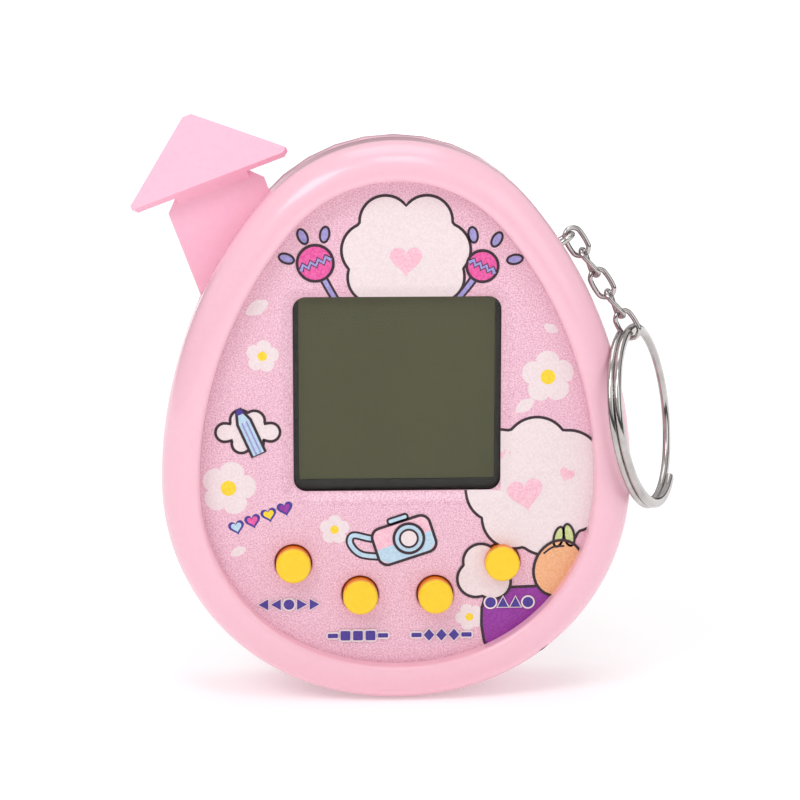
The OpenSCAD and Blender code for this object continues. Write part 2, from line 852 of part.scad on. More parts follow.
// Insulating strip, folded forward at its neck into an arrow head that leans back.
module pull_tab() {
    front_z = strip_z + strip_t;
    color(TAB_PINK) upright() on_strip() {
        translate([0, 0, strip_z])
            linear_extrude(strip_t) strip_outline(0);
        translate([-neck_w / 2, 0, 0])
            rotate([90, 0, 90])
                linear_extrude(neck_w)
                    polygon([
                        [strip_len - neck_t, strip_z + strip_t / 2],
                        [strip_len, strip_z],
                        [strip_len + neck_up + neck_t / 2, front_z + neck_forward - neck_t / 2],
                        [strip_len + neck_up, front_z + neck_forward],
                        [strip_len - neck_t, front_z]
                    ]);
        translate([0, strip_len + neck_up - 0.3, front_z + neck_forward])
            rotate([-head_lean, 0, 0])
                translate([0, 0, -head_t_mm / 2])
                    linear_extrude(head_t_mm)
                        polygon([
                            [-head_w / 2 + head_blunt, 0], [head_w / 2 - head_blunt, 0],
                            [head_w / 2, head_blunt], [head_blunt, head_len],
                            [-head_blunt, head_len], [-head_w / 2, head_blunt]
                        ]);
    }
}

// Wire staple through the side of the front shell, its ends bent over inside.
module chain_eyelet() {
    foot = 0.7;
    color(CHROME) upright() on_eyelet() {
        translate([eyelet_leg, 0, 0])
            rotate([90, 0, 0])
                rotate_extrude(angle = 180, start = -90)
                    translate([eyelet_bend_r, 0]) circle(eyelet_wire_r);
        for (s = [-1, 1]) {
            translate([-eyelet_inside + past, 0, s * eyelet_bend_r])
                rotate([0, 90, 0])
                    cylinder(r = eyelet_wire_r, h = eyelet_inside - past + eyelet_leg);
            translate([-eyelet_inside + past, 0, s * eyelet_bend_r]) {
                sphere(eyelet_wire_r);
                translate([0, 0, s > 0 ? 0 : -foot])
                    cylinder(r = eyelet_wire_r, h = foot);
            }
        }
    }
}

// One oval link: its near bend's middle on the origin, its length along x.
module oval_link() {
    bend_r = link_w / 2 - chain_wire_r;
    straight = link_mid - 2 * bend_r;
    translate([bend_r, 0, 0])
        rotate_extrude(angle = 180, start = 90)
            translate([bend_r, 0]) circle(chain_wire_r);
    translate([bend_r + straight, 0, 0])
        rotate_extrude(angle = 180, start = -90)
            translate([bend_r, 0]) circle(chain_wire_r);
    for (s = [-1, 1])
        translate([bend_r, s * bend_r, 0])
            rotate([0, 90, 0]) cylinder(r = chain_wire_r, h = straight);
}

// Link number i: every second link is turned a quarter turn about the chain.
module chain_link(i) {
    color(CHROME) upright()
        translate([chain_start[0], chain_start[1], chain_z])
            rotate(chain_angle)
                translate([link_near(i), 0, 0])
                    rotate([i % 2 == 0 ? 90 : 0, 0, 0]) oval_link();
}

module chain_link_1() { chain_link(1); }
module chain_link_2() { chain_link(2); }
module chain_link_3() { chain_link(3); }
module chain_link_4() { chain_link(4); }
module chain_link_5() { chain_link(5); }

// Section of the ring's flattened wire, centred.
module ring_section() {
    flat = ring_wire_w - ring_wire_t;
    square([flat, ring_wire_t], center = true);
    for (s = [-1, 1]) translate([s * flat / 2, 0]) circle(ring_wire_t / 2);
}

// Split ring: a full turn, and beside it the overlapping half turn.
module split_ring() {
    color(CHROME) upright()
        translate([ring_centre[0], ring_centre[1], chain_z])
            rotate(ring_hang)
                rotate([0, 90 - ring_turn, 0]) {
                    rotate_extrude() translate([ring_r, 0]) ring_section();
                    rotate_extrude(angle = ring_half_angle, start = ring_half_start)
                        translate([ring_r, 0.02 - ring_wire_t]) ring_section();
                }
}

front_shell();
face_panel();
screen_window();
lcd_frame();
lcd_polarizer();
lcd_front_glass();
lcd_rear_glass();
lcd_reflector();
zebra_strip();
select_button();
decide_button();
cancel_button();
reset_button();
select_pill();
decide_pill();
cancel_pill();
reset_pill();
keypad();
circuit_board();
chip_blob();
crystal();
resistors();
capacitors();
board_screws();
buzzer_plate();
buzzer_ceramic();
buzzer_wires();
battery_wires();
rear_shell();
left_contact();
right_contact();
bridge_contact();
left_cell();
right_cell();
battery_cover();
cover_screw();
case_screws();
pull_tab();
chain_eyelet();
chain_link_1();
chain_link_2();
chain_link_3();
chain_link_4();
chain_link_5();
split_ring();
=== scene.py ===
"""Looks of the egg-shaped pocket pet toy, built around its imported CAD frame.

Shapes are drawn lying on their back, in millimetres: x to the right, v up the egg and
h from the back face towards the viewer. stand() turns them into the frame, in metres.
"""

import json
import math

import bmesh
import bpy
from mathutils import Matrix, Vector


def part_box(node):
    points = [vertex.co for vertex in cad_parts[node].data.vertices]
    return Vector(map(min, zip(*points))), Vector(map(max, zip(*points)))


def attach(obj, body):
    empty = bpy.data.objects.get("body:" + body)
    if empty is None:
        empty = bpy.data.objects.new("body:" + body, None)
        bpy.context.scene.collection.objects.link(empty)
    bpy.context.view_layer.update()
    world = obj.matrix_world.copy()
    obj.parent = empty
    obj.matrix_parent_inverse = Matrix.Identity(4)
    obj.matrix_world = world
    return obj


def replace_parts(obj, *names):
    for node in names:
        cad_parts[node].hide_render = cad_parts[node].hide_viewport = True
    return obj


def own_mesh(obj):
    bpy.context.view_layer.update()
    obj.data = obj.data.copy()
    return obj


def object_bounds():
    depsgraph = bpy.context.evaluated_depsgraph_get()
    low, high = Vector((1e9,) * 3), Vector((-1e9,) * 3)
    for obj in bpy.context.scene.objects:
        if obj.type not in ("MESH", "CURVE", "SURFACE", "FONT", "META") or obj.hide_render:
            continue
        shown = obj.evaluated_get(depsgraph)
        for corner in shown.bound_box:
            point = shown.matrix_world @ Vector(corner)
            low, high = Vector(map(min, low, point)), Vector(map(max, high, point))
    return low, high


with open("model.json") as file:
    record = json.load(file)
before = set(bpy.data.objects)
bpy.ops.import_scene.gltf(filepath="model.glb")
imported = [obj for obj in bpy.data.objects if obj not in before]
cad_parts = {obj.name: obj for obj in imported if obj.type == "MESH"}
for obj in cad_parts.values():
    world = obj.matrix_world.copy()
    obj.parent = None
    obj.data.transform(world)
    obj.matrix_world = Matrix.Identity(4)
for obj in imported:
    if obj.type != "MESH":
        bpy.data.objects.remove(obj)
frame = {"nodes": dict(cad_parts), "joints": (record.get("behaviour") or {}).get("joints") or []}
cad_lo, cad_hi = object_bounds()

MM = 0.001
STAND = Matrix(((MM, 0, 0, 0), (0, 0, -MM, 0), (0, MM, 0, 0), (0, 0, 0, 1)))


# ---------------------------------------------------------------- sizes from the frame

def lying_box(node):
    """A node's lowest and highest (x, v, h) in millimetres."""
    lo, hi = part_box(node)
    return (lo[0] / MM, lo[2] / MM, -hi[1] / MM), (hi[0] / MM, hi[2] / MM, -lo[1] / MM)


def middle(node):
    lo, hi = lying_box(node)
    return [(a + b) / 2 for a, b in zip(lo, hi)]


SHELL_LO, SHELL_HI = lying_box("front_shell")
HALF_W = SHELL_HI[0]
HALF_H = SHELL_HI[1]
CREST_H = SHELL_HI[2]
PARTING_H = SHELL_LO[2]
PANEL_H = lying_box("face_panel")[1][2]
WINDOW_V = middle("screen_window")[1]
LENS_W = lying_box("screen_window")[1][0] * 2
BUTTON_NAMES = ("select", "decide", "cancel", "reset")
BUTTONS = {name: middle(name + "_button") for name in BUTTON_NAMES}
BUTTON_TOP_H = lying_box("select_button")[1][2]

# The same driving sizes as the part's own source, in millimetres.
WIDEST_DROP = 6.25
UPPER_SIDE_R = 46
LOWER_FULLNESS = 0.25
RIM_R = 3.6
RIM_LIP_R = 0.5
WALL_T = 1.6
WINDOW_W = LENS_W - 1.8
WINDOW_H = WINDOW_W - 1.2
WINDOW_R = 1.35
SLOPE_W = 1.4
SLOPE_D = 0.9
SLOPE_POWER = 1.35
FILM_T = 0.2
FIT_GAP = 0.02
HOLE_R = 2.0
CAP_R = 1.85
CAP_EDGE_R = 0.36
FLANGE_R = 2.58
FLANGE_T = 0.6


# ---------------------------------------------------------------- outlines

def end_radius(side_r, reach):
    """Radius of the end arc tangent to both side arcs that reaches the given height."""
    return (side_r ** 2 - (side_r - HALF_W) ** 2 - reach ** 2) / (2 * (side_r - reach))


def egg_arcs():
    """The outline's six arcs: centre x, centre v, radius, first angle, last angle."""
    lower_reach = HALF_H - WIDEST_DROP
    upper_reach = HALF_H + WIDEST_DROP
    lower_r = lower_reach - LOWER_FULLNESS
    bottom_r = end_radius(lower_r, lower_reach)
    top_r = end_radius(UPPER_SIDE_R, upper_reach)
    bottom_v = bottom_r - HALF_H
    top_v = HALF_H - top_r
    lower_x = HALF_W - lower_r
    upper_x = HALF_W - UPPER_SIDE_R
    lower_a = math.atan2(bottom_v + WIDEST_DROP, lower_x)
    upper_a = math.atan2(top_v + WIDEST_DROP, -upper_x)
    half, full = math.pi, 2 * math.pi
    return [
        (upper_x, -WIDEST_DROP, UPPER_SIDE_R, 0, upper_a),
        (0, top_v, top_r, upper_a, half - upper_a),
        (-upper_x, -WIDEST_DROP, UPPER_SIDE_R, half - upper_a, half),
        (-lower_x, -WIDEST_DROP, lower_r, half, half + lower_a),
        (0, bottom_v, bottom_r, half + lower_a, full - lower_a),
        (lower_x, -WIDEST_DROP, lower_r, full - lower_a, full),
    ]


EGG_ARCS = egg_arcs()


def egg_outline(inset=0.0, steps=40):
    points = []
    for cx, cv, r, a0, a1 in EGG_ARCS:
        for i in range(steps):
            a = a0 + (a1 - a0) * i / steps
            points.append((cx + (r - inset) * math.cos(a), cv + (r - inset) * math.sin(a)))
    return points


def rect_outline(w, h, r, cv=0.0, steps=10):
    """A rounded rectangle, as points."""
    points = []
    for i, (sx, sv) in enumerate(((1, 1), (-1, 1), (-1, -1), (1, -1))):
        for k in range(steps + 1):
            a = math.pi / 2 * (i + k / steps)
            x = sx * (w / 2 - r) + r * math.cos(a)
            points.append((x, cv + sv * (h / 2 - r) + r * math.sin(a)))
    return points


def ellipse(cx, cv, rx, rv, turn=0.0, steps=36):
    c, s = math.cos(math.radians(turn)), math.sin(math.radians(turn))
    points = []
    for i in range(steps):
        a = 2 * math.pi * i / steps
        x, v = rx * math.cos(a), rv * math.sin(a)
        points.append((cx + c * x - s * v, cv + s * x + c * v))
    return points


def smooth_loop(knots, steps=7, closed=True):
    """A smooth curve through a few given points."""
    n = len(knots)
    spans = n if closed else n - 1
    points = []
    for i in range(spans):
        if closed:
            p = [knots[(i + k - 1) % n] for k in range(4)]
        else:
            p = [knots[min(max(i + k - 1, 0), n - 1)] for k in range(4)]
        for s in range(steps):
            t = s / steps
            points.append(tuple(
                0.5 * (2 * p[1][d] + (p[2][d] - p[0][d]) * t
                       + (2 * p[0][d] - 5 * p[1][d] + 4 * p[2][d] - p[3][d]) * t * t
                       + (3 * p[1][d] - p[0][d] - 3 * p[2][d] + p[3][d]) * t ** 3)
                for d in (0, 1)))
    if not closed:
        points.append(knots[-1])
    return points


def moved(points, x, v, scale=1.0, turn=0.0):
    c, s = math.cos(math.radians(turn)) * scale, math.sin(math.radians(turn)) * scale
    return [(x + c * p[0] - s * p[1], v + s * p[0] + c * p[1]) for p in points]


# ---------------------------------------------------------------- meshes

def stand(name, bm, material, body="case", smooth=45.0):
    """Turns a lying bmesh into a finished piece in the frame, riding on a body."""
    bmesh.ops.recalc_face_normals(bm, faces=bm.faces)
    bmesh.ops.transform(bm, matrix=STAND, verts=bm.verts)
    return finish_piece(name, bm, material, body, smooth)


def finish_piece(name, bm, material, body, smooth):
    mesh = bpy.data.meshes.new(name)
    bm.to_mesh(mesh)
    bm.free()
    mesh.materials.append(material)
    piece = bpy.data.objects.new(name, mesh)
    bpy.context.scene.collection.objects.link(piece)
    mesh.shade_smooth()
    mesh.set_sharp_from_angle(angle=math.radians(smooth))
    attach(piece, body)
    return piece


def smooth_copy(node, name, body="case", smooth=35.0):
    """A welded copy of a CAD node with smooth shading across its narrow facets."""
    source = frame["nodes"][node]
    bm = bmesh.new()
    bm.from_mesh(source.data)
    bmesh.ops.transform(bm, matrix=source.matrix_world, verts=bm.verts)
    bmesh.ops.remove_doubles(bm, verts=bm.verts, dist=1e-7)
    bmesh.ops.dissolve_degenerate(bm, dist=1e-7, edges=bm.edges)
    piece = finish_piece(name, bm, NODE_MATERIALS[node], body, smooth)
    piece.modifiers.new("flat_faces", "WEIGHTED_NORMAL").keep_sharp = True
    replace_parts(piece, node)


def sweep(bm, outline, profile):
    """Sweeps a closed profile of (inset, h) round an outline given as a function of inset."""
    rings = [[bm.verts.new((x, v, h)) for x, v in outline(inset)] for inset, h in profile]
    count = len(rings[0])
    for a, b in zip(rings, rings[1:] + rings[:1]):
        for i in range(count):
            j = (i + 1) % count
            bm.faces.new((a[i], a[j], b[j], b[i]))


def add_loop(bm, points, h):
    verts = [bm.verts.new((x, v, h)) for x, v in points]
    return [bm.edges.new((a, b)) for a, b in zip(verts, verts[1:] + verts[:1])]


def plate(bm, loops, from_h, to_h):
    """A flat plate between two heights, with holes: the first loop is its outline."""
    edges = [e for loop in loops for e in add_loop(bm, loop, to_h)]
    result = bmesh.ops.triangle_fill(bm, edges=edges, use_beauty=True, use_dissolve=False)
    faces = [g for g in result["geom"] if isinstance(g, bmesh.types.BMFace)]
    grown = bmesh.ops.extrude_face_region(bm, geom=faces, use_keep_orig=True)
    verts = [g for g in grown["geom"] if isinstance(g, bmesh.types.BMVert)]
    bmesh.ops.translate(bm, vec=(0, 0, from_h - to_h), verts=verts)


def lathe(bm, cx, cv, profile, steps=64):
    """Turns a profile of (radius, h), from its axis and back to it, round (cx, cv)."""
    rings = []
    for r, h in profile:
        if r == 0:
            rings.append([bm.verts.new((cx, cv, h))])
        else:
            rings.append([bm.verts.new((x, v, h)) for x, v in ellipse(cx, cv, r, r, 0, steps)])
    for a, b in zip(rings, rings[1:]):
        for i in range(steps):
            j = (i + 1) % steps
            ring = [a[i % len(a)], a[j % len(a)], b[j % len(b)], b[i % len(b)]]
            unique = list(dict.fromkeys(ring))
            if len(unique) > 2:
                bm.faces.new(unique)


def rounded(cx, ch, r, a0, a1, steps=8):
    """Points of (x, h) along an arc, in degrees."""
    return [(cx + r * math.cos(math.radians(a0 + (a1 - a0) * i / steps)),
             ch + r * math.sin(math.radians(a0 + (a1 - a0) * i / steps)))
            for i in range(steps + 1)]


def tube(bm, path, frames, section, closed):
    """Sweeps a section of (a, b) along a path; frames gives the two cross directions."""
    rings = []
    for p, (u, w) in zip(path, frames):
        rings.append([bm.verts.new(p + u * a + w * b) for a, b in section])
    pairs = list(zip(rings, rings[1:]))
    if closed:
        pairs.append((rings[-1], rings[0]))
    count = len(section)
    for a, b in pairs:
        for i in range(count):
            j = (i + 1) % count
            bm.faces.new((a[i], a[j], b[j], b[i]))
    if not closed:
        bm.faces.new(rings[0])
        bm.faces.new(rings[-1])


# ---------------------------------------------------------------- materials

def linear(r, g, b):
    """A colour given in 0-255 screen values, as the shader wants it."""
    out = []
    for c in (r, g, b):
        c /= 255
        out.append(c / 12.92 if c <= 0.04045 else ((c + 0.055) / 1.055) ** 2.4)
    return (*out, 1)


def material(name, color_a, color_b, scale, rough, bump=0.0, bump_scale=None, **sockets):
    """A principled material whose colour varies between two tones by a noise pattern."""
    mat = bpy.data.materials.new(name)
    mat.use_nodes = True
    nodes, links = mat.node_tree.nodes, mat.node_tree.links
    shader = nodes["Principled BSDF"]
    coords = nodes.new("ShaderNodeTexCoord")
    noise = nodes.new("ShaderNodeTexNoise")
    noise.inputs["Scale"].default_value = scale
    noise.inputs["Detail"].default_value = 3
    ramp = nodes.new("ShaderNodeValToRGB")
    ramp.color_ramp.elements[0].position = 0.36
    ramp.color_ramp.elements[0].color = linear(*color_a)
    ramp.color_ramp.elements[1].position = 0.64
    ramp.color_ramp.elements[1].color = linear(*color_b)
    links.new(coords.outputs["Object"], noise.inputs["Vector"])
    links.new(noise.outputs["Fac"], ramp.inputs["Fac"])
    links.new(ramp.outputs["Color"], shader.inputs["Base Color"])
    spread = nodes.new("ShaderNodeMapRange")
    spread.inputs["To Min"].default_value = rough * 0.88
    spread.inputs["To Max"].default_value = rough * 1.12
    links.new(noise.outputs["Fac"], spread.inputs["Value"])
    links.new(spread.outputs["Result"], shader.inputs["Roughness"])
    if bump:
        fine = nodes.new("ShaderNodeTexNoise")
        fine.inputs["Scale"].default_value = bump_scale or scale
        fine.inputs["Detail"].default_value = 2
        relief = nodes.new("ShaderNodeBump")
        relief.inputs["Strength"].default_value = bump
        relief.inputs["Distance"].default_value = 0.00002
        links.new(coords.outputs["Object"], fine.inputs["Vector"])
        links.new(fine.outputs["Fac"], relief.inputs["Height"])
        links.new(relief.outputs["Normal"], shader.inputs["Normal"])
    for key, value in sockets.items():
        shader.inputs[key.replace("_", " ")].default_value = value
    return mat


def plastic(name, color_a, color_b, rough=0.3, **more):
    return material(name, color_a, color_b, 1500, rough, bump=0.03, bump_scale=2600,
                    **{"IOR": 1.5, "Coat_Weight": 0.25, "Coat_Roughness": 0.12, **more})


def ink(name, color_a, color_b):
    return material(name, color_a, color_b, 5200, 0.42, bump=0.35, bump_scale=5200, IOR=1.48)


PINK = plastic("pink_plastic", (247, 192, 208), (248, 194, 210), 0.24)
TAB = material("pink_tab", (250, 190, 212), (251, 193, 214), 1500, 0.5, bump=0.1,
               bump_scale=3200, IOR=1.4, Subsurface_Weight=0.1, Subsurface_Scale=0.001)
FILM = material("glitter_film", (220, 156, 182), (250, 210, 224), 6800, 0.38,
                bump=0.7, bump_scale=6800, IOR=1.5, Coat_Weight=0.5, Coat_Roughness=0.16)
WHITE_INK = ink("white_ink", (236, 217, 220), (243, 228, 230))
BLACK_INK = ink("black_ink", (44, 24, 36), (58, 34, 46))
ROSE_INK = ink("rose_ink", (243, 178, 198), (249, 205, 218))
HOT_PINK_INK = ink("hot_pink_ink", (225, 70, 150), (240, 105, 175))
LILAC_INK = ink("lilac_ink", (150, 140, 205), (172, 164, 220))
PURPLE_INK = ink("purple_ink", (138, 40, 150), (158, 58, 168))
NAVY_INK = ink("navy_ink", (62, 44, 138), (80, 60, 156))
BLUE_INK = ink("blue_ink", (178, 208, 230), (198, 224, 240))
GOLD_INK = ink("gold_ink", (246, 208, 30), (252, 222, 60))
ORANGE_INK = ink("orange_ink", (236, 170, 120), (246, 190, 145))
GREEN_INK = ink("green_ink", (196, 208, 130), (214, 224, 160))
BLACK = material("black_plastic", (22, 15, 14), (30, 21, 19), 900, 0.4, bump=0.3, IOR=1.5)
LCD = material("lcd_olive", (107, 104, 74), (111, 108, 78), 60, 0.6, bump=0.02,
               bump_scale=4000, IOR=1.45)
GLASS = material("lcd_glass", (120, 130, 110), (130, 138, 118), 400, 0.1, IOR=1.5, Alpha=0.4)
SILVER = material("silver_film", (160, 160, 140), (176, 176, 156), 700, 0.35, Metallic=1.0)
CHROME = material("chrome", (176, 172, 170), (196, 192, 190), 500, 0.13, bump=0.15,
                  bump_scale=1800, Metallic=1.0)
STEEL = material("screw_steel", (150, 150, 152), (172, 172, 174), 900, 0.38, bump=0.4,
                 bump_scale=3000, Metallic=1.0)
BRASS = material("brass", (190, 150, 78), (206, 168, 96), 800, 0.3, bump=0.3, Metallic=1.0)
RUBBER = material("grey_rubber", (62, 62, 68), (74, 74, 80), 1500, 0.75, bump=0.5)
CARBON = material("black_rubber", (16, 16, 16), (26, 26, 26), 1500, 0.8, bump=0.5)
SILICONE = material("white_rubber", (206, 206, 198), (218, 218, 210), 900, 0.6, bump=0.4)
BOARD = material("green_board", (26, 92, 48), (34, 108, 58), 1200, 0.4, bump=0.4)
RESIN = material("black_resin", (12, 12, 12), (22, 22, 22), 300, 0.18, bump=0.5,
                 bump_scale=500)
CERAMIC = material("ceramic_body", (188, 176, 158), (204, 192, 174), 1500, 0.6, bump=0.4)
WIRE = material("wire_cover", (150, 24, 20), (170, 34, 28), 1500, 0.4, bump=0.3)


def clear_lens():
    """Clear window plastic: it lets light through and mirrors a little of the room."""
    mat = bpy.data.materials.new("clear_plastic")
    mat.use_nodes = True
    nodes, links = mat.node_tree.nodes, mat.node_tree.links
    nodes.remove(nodes["Principled BSDF"])
    through = nodes.new("ShaderNodeBsdfTransparent")
    through.inputs["Color"].default_value = (0.94, 0.95, 0.93, 1)
    gloss = nodes.new("ShaderNodeBsdfGlossy")
    fresnel = nodes.new("ShaderNodeFresnel")
    fresnel.inputs["IOR"].default_value = 1.24
    mix = nodes.new("ShaderNodeMixShader")
    coords = nodes.new("ShaderNodeTexCoord")
    noise = nodes.new("ShaderNodeTexNoise")
    noise.inputs["Scale"].default_value = 240
    spread = nodes.new("ShaderNodeMapRange")
    spread.inputs["To Min"].default_value = 0.05
    spread.inputs["To Max"].default_value = 0.11
    relief = nodes.new("ShaderNodeBump")
    relief.inputs["Strength"].default_value = 0.03
    relief.inputs["Distance"].default_value = 0.00002
    links.new(coords.outputs["Object"], noise.inputs["Vector"])
    links.new(noise.outputs["Fac"], spread.inputs["Value"])
    links.new(spread.outputs["Result"], gloss.inputs["Roughness"])
    links.new(noise.outputs["Fac"], relief.inputs["Height"])
    links.new(relief.outputs["Normal"], gloss.inputs["Normal"])
    links.new(fresnel.outputs["Fac"], mix.inputs["Fac"])
    links.new(through.outputs["BSDF"], mix.inputs[1])
    links.new(gloss.outputs["BSDF"], mix.inputs[2])
    links.new(mix.outputs["Shader"], nodes["Material Output"].inputs["Surface"])
    return mat


LENS = clear_lens()


def yellow_with_painted_side_shade():
    """Yellow plastic with painted shade: it deepens to orange down its side, where the cap is in
    shade.
    """
    mat = plastic("yellow_plastic", (250, 206, 8), (252, 210, 14), 0.42,
                  Subsurface_Weight=0.15, Subsurface_Scale=0.001)
    nodes, links = mat.node_tree.nodes, mat.node_tree.links
    shader = nodes["Principled BSDF"]
    ramp = shader.inputs["Base Color"].links[0].from_node
    coords = nodes.new("ShaderNodeTexCoord")
    split = nodes.new("ShaderNodeSeparateXYZ")
    # Painted shade mask: 0 just under the cap's top, 1 low on its side near the panel.
    side_shade_depth = nodes.new("ShaderNodeMapRange")
    side_shade_depth.inputs["From Min"].default_value = -(BUTTON_TOP_H - 0.2) * MM
    side_shade_depth.inputs["From Max"].default_value = -(PANEL_H + 0.8) * MM
    mix = nodes.new("ShaderNodeMix")
    mix.data_type = "RGBA"
    # The orange is painted shade for the cap's shaded side.
    mix.inputs["B"].default_value = linear(240, 128, 4)
    links.new(coords.outputs["Object"], split.inputs["Vector"])
    links.new(split.outputs["Y"], side_shade_depth.inputs["Value"])
    links.new(side_shade_depth.outputs["Result"], mix.inputs["Factor"])
    links.new(ramp.outputs["Color"], mix.inputs["A"])
    links.new(mix.outputs["Result"], shader.inputs["Base Color"])
    return mat


YELLOW_PAINTED_SIDE_SHADE = yellow_with_painted_side_shade()

NODE_MATERIALS = {
    "front_shell": PINK, "rear_shell": PINK, "battery_cover": PINK, "face_panel": FILM,
    "screen_window": LENS, "lcd_frame": BLACK, "lcd_polarizer": LCD,
    "lcd_front_glass": GLASS, "lcd_rear_glass": GLASS, "lcd_reflector": SILVER,
    "zebra_strip": RUBBER, "keypad": SILICONE, "circuit_board": BOARD, "chip_blob": RESIN,
    "crystal": STEEL, "resistors": RESIN, "capacitors": CERAMIC, "board_screws": STEEL,
    "buzzer_plate": BRASS, "buzzer_ceramic": CERAMIC, "buzzer_wires": WIRE,
    "battery_wires": WIRE, "left_contact": STEEL, "right_contact": STEEL,
    "bridge_contact": STEEL, "left_cell": STEEL, "right_cell": STEEL,
    "cover_screw": STEEL, "case_screws": STEEL, "pull_tab": TAB, "chain_eyelet": CHROME,
    "split_ring": CHROME,
}
for button in BUTTON_NAMES:
    NODE_MATERIALS[button + "_button"] = YELLOW_PAINTED_SIDE_SHADE
    NODE_MATERIALS[button + "_pill"] = CARBON


def paint_nodes():
    for name, node in frame["nodes"].items():
        node.data.materials.clear()
        node.data.materials.append(NODE_MATERIALS.get(name, CHROME))


def soften(name, width, segments=3):
    """Rounds a CAD node's sharp edges a little, as moulding does."""
    bevel = frame["nodes"][name].modifiers.new("soft_edges", "BEVEL")
    bevel.width = width * MM
    bevel.segments = segments
    bevel.limit_method = "ANGLE"
    bevel.angle_limit = math.radians(50)


# ---------------------------------------------------------------- camera, light, floor

CAMERA_ELEVATION = 10.0
CAMERA_AZIMUTH = -2.5
CAMERA_DISTANCE = 0.28
VIEW_WIDTH = 0.0845
PANEL_LEFT_OF_CENTRE = 0.26
PANEL_BELOW_CENTRE = 2.7


def look_at(obj, target):
    obj.rotation_euler = (Vector(target) - obj.location).to_track_quat("-Z", "Y").to_euler()


def set_camera():
    el, az = math.radians(CAMERA_ELEVATION), math.radians(CAMERA_AZIMUTH)
    away = Vector((math.sin(az) * math.cos(el), -math.cos(az) * math.cos(el), math.sin(el)))
    right = Vector((math.cos(az), math.sin(az), 0))
    up = right.cross(-away)
    panel = Vector((0, -PANEL_H * MM, 0))
    target = panel + (right * PANEL_LEFT_OF_CENTRE + up * PANEL_BELOW_CENTRE) * MM
    data = bpy.data.cameras.new("camera")
    data.sensor_width = 36
    data.lens = data.sensor_width * CAMERA_DISTANCE / VIEW_WIDTH
    data.clip_start = 0.005
    camera = bpy.data.objects.new("camera", data)
    bpy.context.scene.collection.objects.link(camera)
    camera.location = target + away * CAMERA_DISTANCE
    look_at(camera, target)
    bpy.context.scene.camera = camera


def area_light(name, place, size, power, target=(0, 0, 0)):
    data = bpy.data.lights.new(name, "AREA")
    data.size = size
    data.energy = power
    light = bpy.data.objects.new(name, data)
    bpy.context.scene.collection.objects.link(light)
    light.location = place
    look_at(light, target)


def set_light():
    area_light("key", (-0.38, -0.46, 0.54), 0.3, 1.5)
    area_light("fill", (0.6, -0.5, 0.4), 0.5, 0.8)
    area_light("front_top", (0.05, -0.4, 0.66), 0.25, 0.7)
    area_light("top", (0.0, 0.14, 0.8), 0.5, 1.2)
    world = bpy.data.worlds.new("studio")
    bpy.context.scene.world = world
    world.use_nodes = True
    nodes, links = world.node_tree.nodes, world.node_tree.links
    back = nodes["Background"]
    back.inputs["Strength"].default_value = 0.64
    coords = nodes.new("ShaderNodeTexCoord")
    split = nodes.new("ShaderNodeSeparateXYZ")
    ramp = nodes.new("ShaderNodeValToRGB")
    stops = ramp.color_ramp.elements
    stops[0].position = 0.0
    stops[0].color = (0.9, 0.9, 0.9, 1)
    stops[1].position = 1.0
    stops[1].color = (1, 1, 1, 1)
    for place, grey in ((0.03, 0.12), (0.2, 0.16), (0.3, 0.95)):
        stop = stops.new(place)
        stop.color = (grey, grey, grey, 1)
    links.new(coords.outputs["Generated"], split.inputs["Vector"])
    links.new(split.outputs["Z"], ramp.inputs["Fac"])
    links.new(ramp.outputs["Color"], back.inputs["Color"])


def white_floor():
    """White sweep paper: it glows a little more far away, where the lamps do not reach."""
    mat = material("floor", (236, 236, 236), (240, 240, 240), 3, 0.9,
                   Emission_Color=(1, 1, 1, 1))
    nodes, links = mat.node_tree.nodes, mat.node_tree.links
    coords = nodes.new("ShaderNodeTexCoord")
    length = nodes.new("ShaderNodeVectorMath")
    length.operation = "LENGTH"
    glow = nodes.new("ShaderNodeMapRange")
    glow.inputs["From Min"].default_value = 0.1
    glow.inputs["From Max"].default_value = 1.0
    glow.inputs["To Min"].default_value = 0.26
    glow.inputs["To Max"].default_value = 0.75
    links.new(coords.outputs["Object"], length.inputs[0])
    links.new(length.outputs["Value"], glow.inputs["Value"])
    links.new(glow.outputs["Result"], nodes["Principled BSDF"].inputs["Emission Strength"])
    return mat


def set_floor():
    bm = bmesh.new()
    bmesh.ops.create_grid(bm, x_segments=2, y_segments=2, size=12)
    bmesh.ops.translate(bm, vec=(0, 0, cad_lo[2]), verts=bm.verts)
    mesh = bpy.data.meshes.new("floor")
    bm.to_mesh(mesh)
    bm.free()
    mesh.materials.append(white_floor())
    floor = bpy.data.objects.new("floor", mesh)
    bpy.context.scene.collection.objects.link(floor)


# ---------------------------------------------------------------- shells and film

